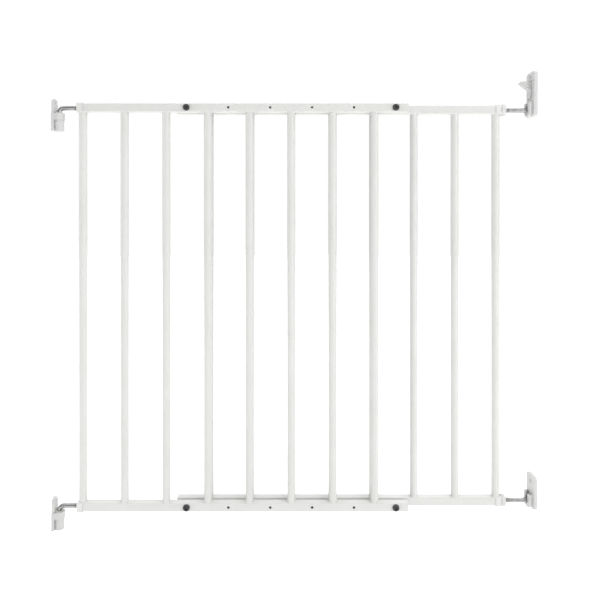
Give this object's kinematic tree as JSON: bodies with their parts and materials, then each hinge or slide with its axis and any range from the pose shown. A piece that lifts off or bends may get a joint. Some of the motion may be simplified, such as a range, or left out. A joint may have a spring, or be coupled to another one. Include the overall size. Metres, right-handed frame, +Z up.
{
  "type": "safety baby gate",
  "caption": "White metal barred safety gate of two overlapping panels, hung on wall hinge sockets and locked by a thumb catch on the far wall.",
  "frame": {"origin": "hinge wall's face, level with the bottom rail's axis and in the front panel's mid-plane, on the lower hinge bracket's back", "axes": "+X across the opening from the hinge wall to the catch wall, +Y from the front panel towards the rear panel, +Z up"},
  "size_m": [0.8565, 0.0487, 0.8107],
  "materials": {
    "gate_paint": "satin white powder coat",
    "cap_plastic": "moulded white, satin",
    "bracket_plastic": "moulded white, satin",
    "lever_plastic": "moulded white, satin",
    "nut_plastic": "moulded white, satin",
    "bush_nylon": "natural nylon",
    "spacer_nylon": "natural nylon",
    "zinc_rod": "bright zinc plate",
    "zinc_hardware": "bright zinc plate",
    "spring_steel": "oiled spring wire",
    "insert_brass": "machined",
    "screw_black": "black plated, satin"
  },
  "bodies": {
    "wall_left": {"upper_hinge_bracket": "bracket_plastic", "lower_hinge_bracket": "bracket_plastic", "hinge_screw_covers": "bracket_plastic"},
    "hinge_bushes": {"upper_hinge_bush": "bush_nylon", "lower_hinge_bush": "bush_nylon"},
    "front_panel": {"front_top_rail": "gate_paint", "front_bottom_rail": "gate_paint", "front_bar_1": "gate_paint", "front_bar_2": "gate_paint", "front_bar_3": "gate_paint", "front_bar_4": "gate_paint", "front_bar_5": "gate_paint", "front_bar_6": "gate_paint", "front_bar_7": "gate_paint", "front_bar_8": "gate_paint", "front_top_end_cap": "cap_plastic", "front_bottom_end_cap": "cap_plastic", "front_top_end_plug": "cap_plastic", "front_bottom_end_plug": "cap_plastic", "hook_inserts": "insert_brass", "upper_hinge_hook": "zinc_rod", "lower_hinge_hook": "zinc_rod", "clamp_spacers": "spacer_nylon", "clamp_nuts": "zinc_hardware"},
    "rear_panel": {"rear_top_rail": "gate_paint", "rear_bottom_rail": "gate_paint", "rear_bar_1": "gate_paint", "rear_bar_2": "gate_paint", "rear_bar_3": "gate_paint", "rear_bar_4": "gate_paint", "rear_bar_5": "gate_paint", "rear_bar_6": "gate_paint", "rear_bar_7": "gate_paint", "rear_bar_8": "gate_paint", "rear_top_end_cap": "cap_plastic", "rear_bottom_end_cap": "cap_plastic", "spindle_inserts": "insert_brass"},
    "wall_right": {"catch_bracket": "bracket_plastic", "catch_pin": "zinc_hardware", "catch_spring": "spring_steel", "cup_bracket": "bracket_plastic"},
    "catch_lever": {"catch_lever": "lever_plastic"},
    "upper_spindle": {"upper_spindle": "zinc_rod"},
    "lower_spindle": {"lower_spindle": "zinc_rod"},
    "upper_spindle_nut": {"upper_spindle_nut": "nut_plastic"},
    "lower_spindle_nut": {"lower_spindle_nut": "nut_plastic"},
    "clamp_screw_1": {"clamp_screw_1": "screw_black"},
    "clamp_screw_2": {"clamp_screw_2": "screw_black"},
    "clamp_screw_3": {"clamp_screw_3": "screw_black"},
    "clamp_screw_4": {"clamp_screw_4": "screw_black"}
  },
  "joints": [
    {"name": "gate_swing", "type": "hinge", "parent": "wall_left", "child": "hinge_bushes", "pos_m": [0.0105, 0, 0], "axis": [0, 0, 1], "range_deg": [-85, 85]},
    {"name": "gate_lift", "type": "slide", "parent": "hinge_bushes", "child": "front_panel", "axis": [0, 0, 1], "range_m": [0, 0.024]},
    {"name": "panel_extend", "type": "slide", "parent": "front_panel", "child": "rear_panel", "axis": [1, 0, 0], "range_m": [0, 0.147]},
    {"name": "wall_spacing", "type": "slide", "parent": "wall_left", "child": "wall_right", "axis": [1, 0, 0], "range_m": [0, 0.147]},
    {"name": "catch_press", "type": "hinge", "parent": "wall_right", "child": "catch_lever", "pos_m": [0.8529, 0.02, 0.743], "axis": [0, -1, 0], "range_deg": [0, 18]},
    {"name": "upper_nut_turn", "type": "hinge", "parent": "rear_panel", "child": "upper_spindle_nut", "pos_m": [0.8001, 0.02, 0.702], "axis": [1, 0, 0], "range_deg": [-144, 144]},
    {"name": "upper_spindle_set", "type": "slide", "parent": "rear_panel", "child": "upper_spindle", "axis": [1, 0, 0], "range_m": [-0.0005, 0.0005]},
    {"name": "lower_nut_turn", "type": "hinge", "parent": "rear_panel", "child": "lower_spindle_nut", "pos_m": [0.8001, 0.02, 0], "axis": [1, 0, 0], "range_deg": [-144, 144]},
    {"name": "lower_spindle_set", "type": "slide", "parent": "rear_panel", "child": "lower_spindle", "axis": [1, 0, 0], "range_m": [-0.0005, 0.0005]},
    {"name": "clamp_turn_1", "type": "hinge", "parent": "front_panel", "child": "clamp_screw_1", "pos_m": [0.23625, 0, 0.702], "axis": [0, 1, 0], "continuous": true},
    {"name": "clamp_turn_2", "type": "hinge", "parent": "front_panel", "child": "clamp_screw_2", "pos_m": [0.60375, 0, 0.702], "axis": [0, 1, 0], "continuous": true},
    {"name": "clamp_turn_3", "type": "hinge", "parent": "front_panel", "child": "clamp_screw_3", "pos_m": [0.23625, 0, 0], "axis": [0, 1, 0], "continuous": true},
    {"name": "clamp_turn_4", "type": "hinge", "parent": "front_panel", "child": "clamp_screw_4", "pos_m": [0.60375, 0, 0], "axis": [0, 1, 0], "continuous": true}
  ],
  "couplings": [
    {"joint": "wall_spacing", "follows": "panel_extend", "ratio": 1},
    {"joint": "catch_press", "follows": "gate_lift", "rad_per_m": 13.089},
    {"joint": "upper_nut_turn", "follows": "upper_spindle_set", "rad_per_m": 5026.5},
    {"joint": "lower_nut_turn", "follows": "lower_spindle_set", "rad_per_m": 5026.5}
  ]
}
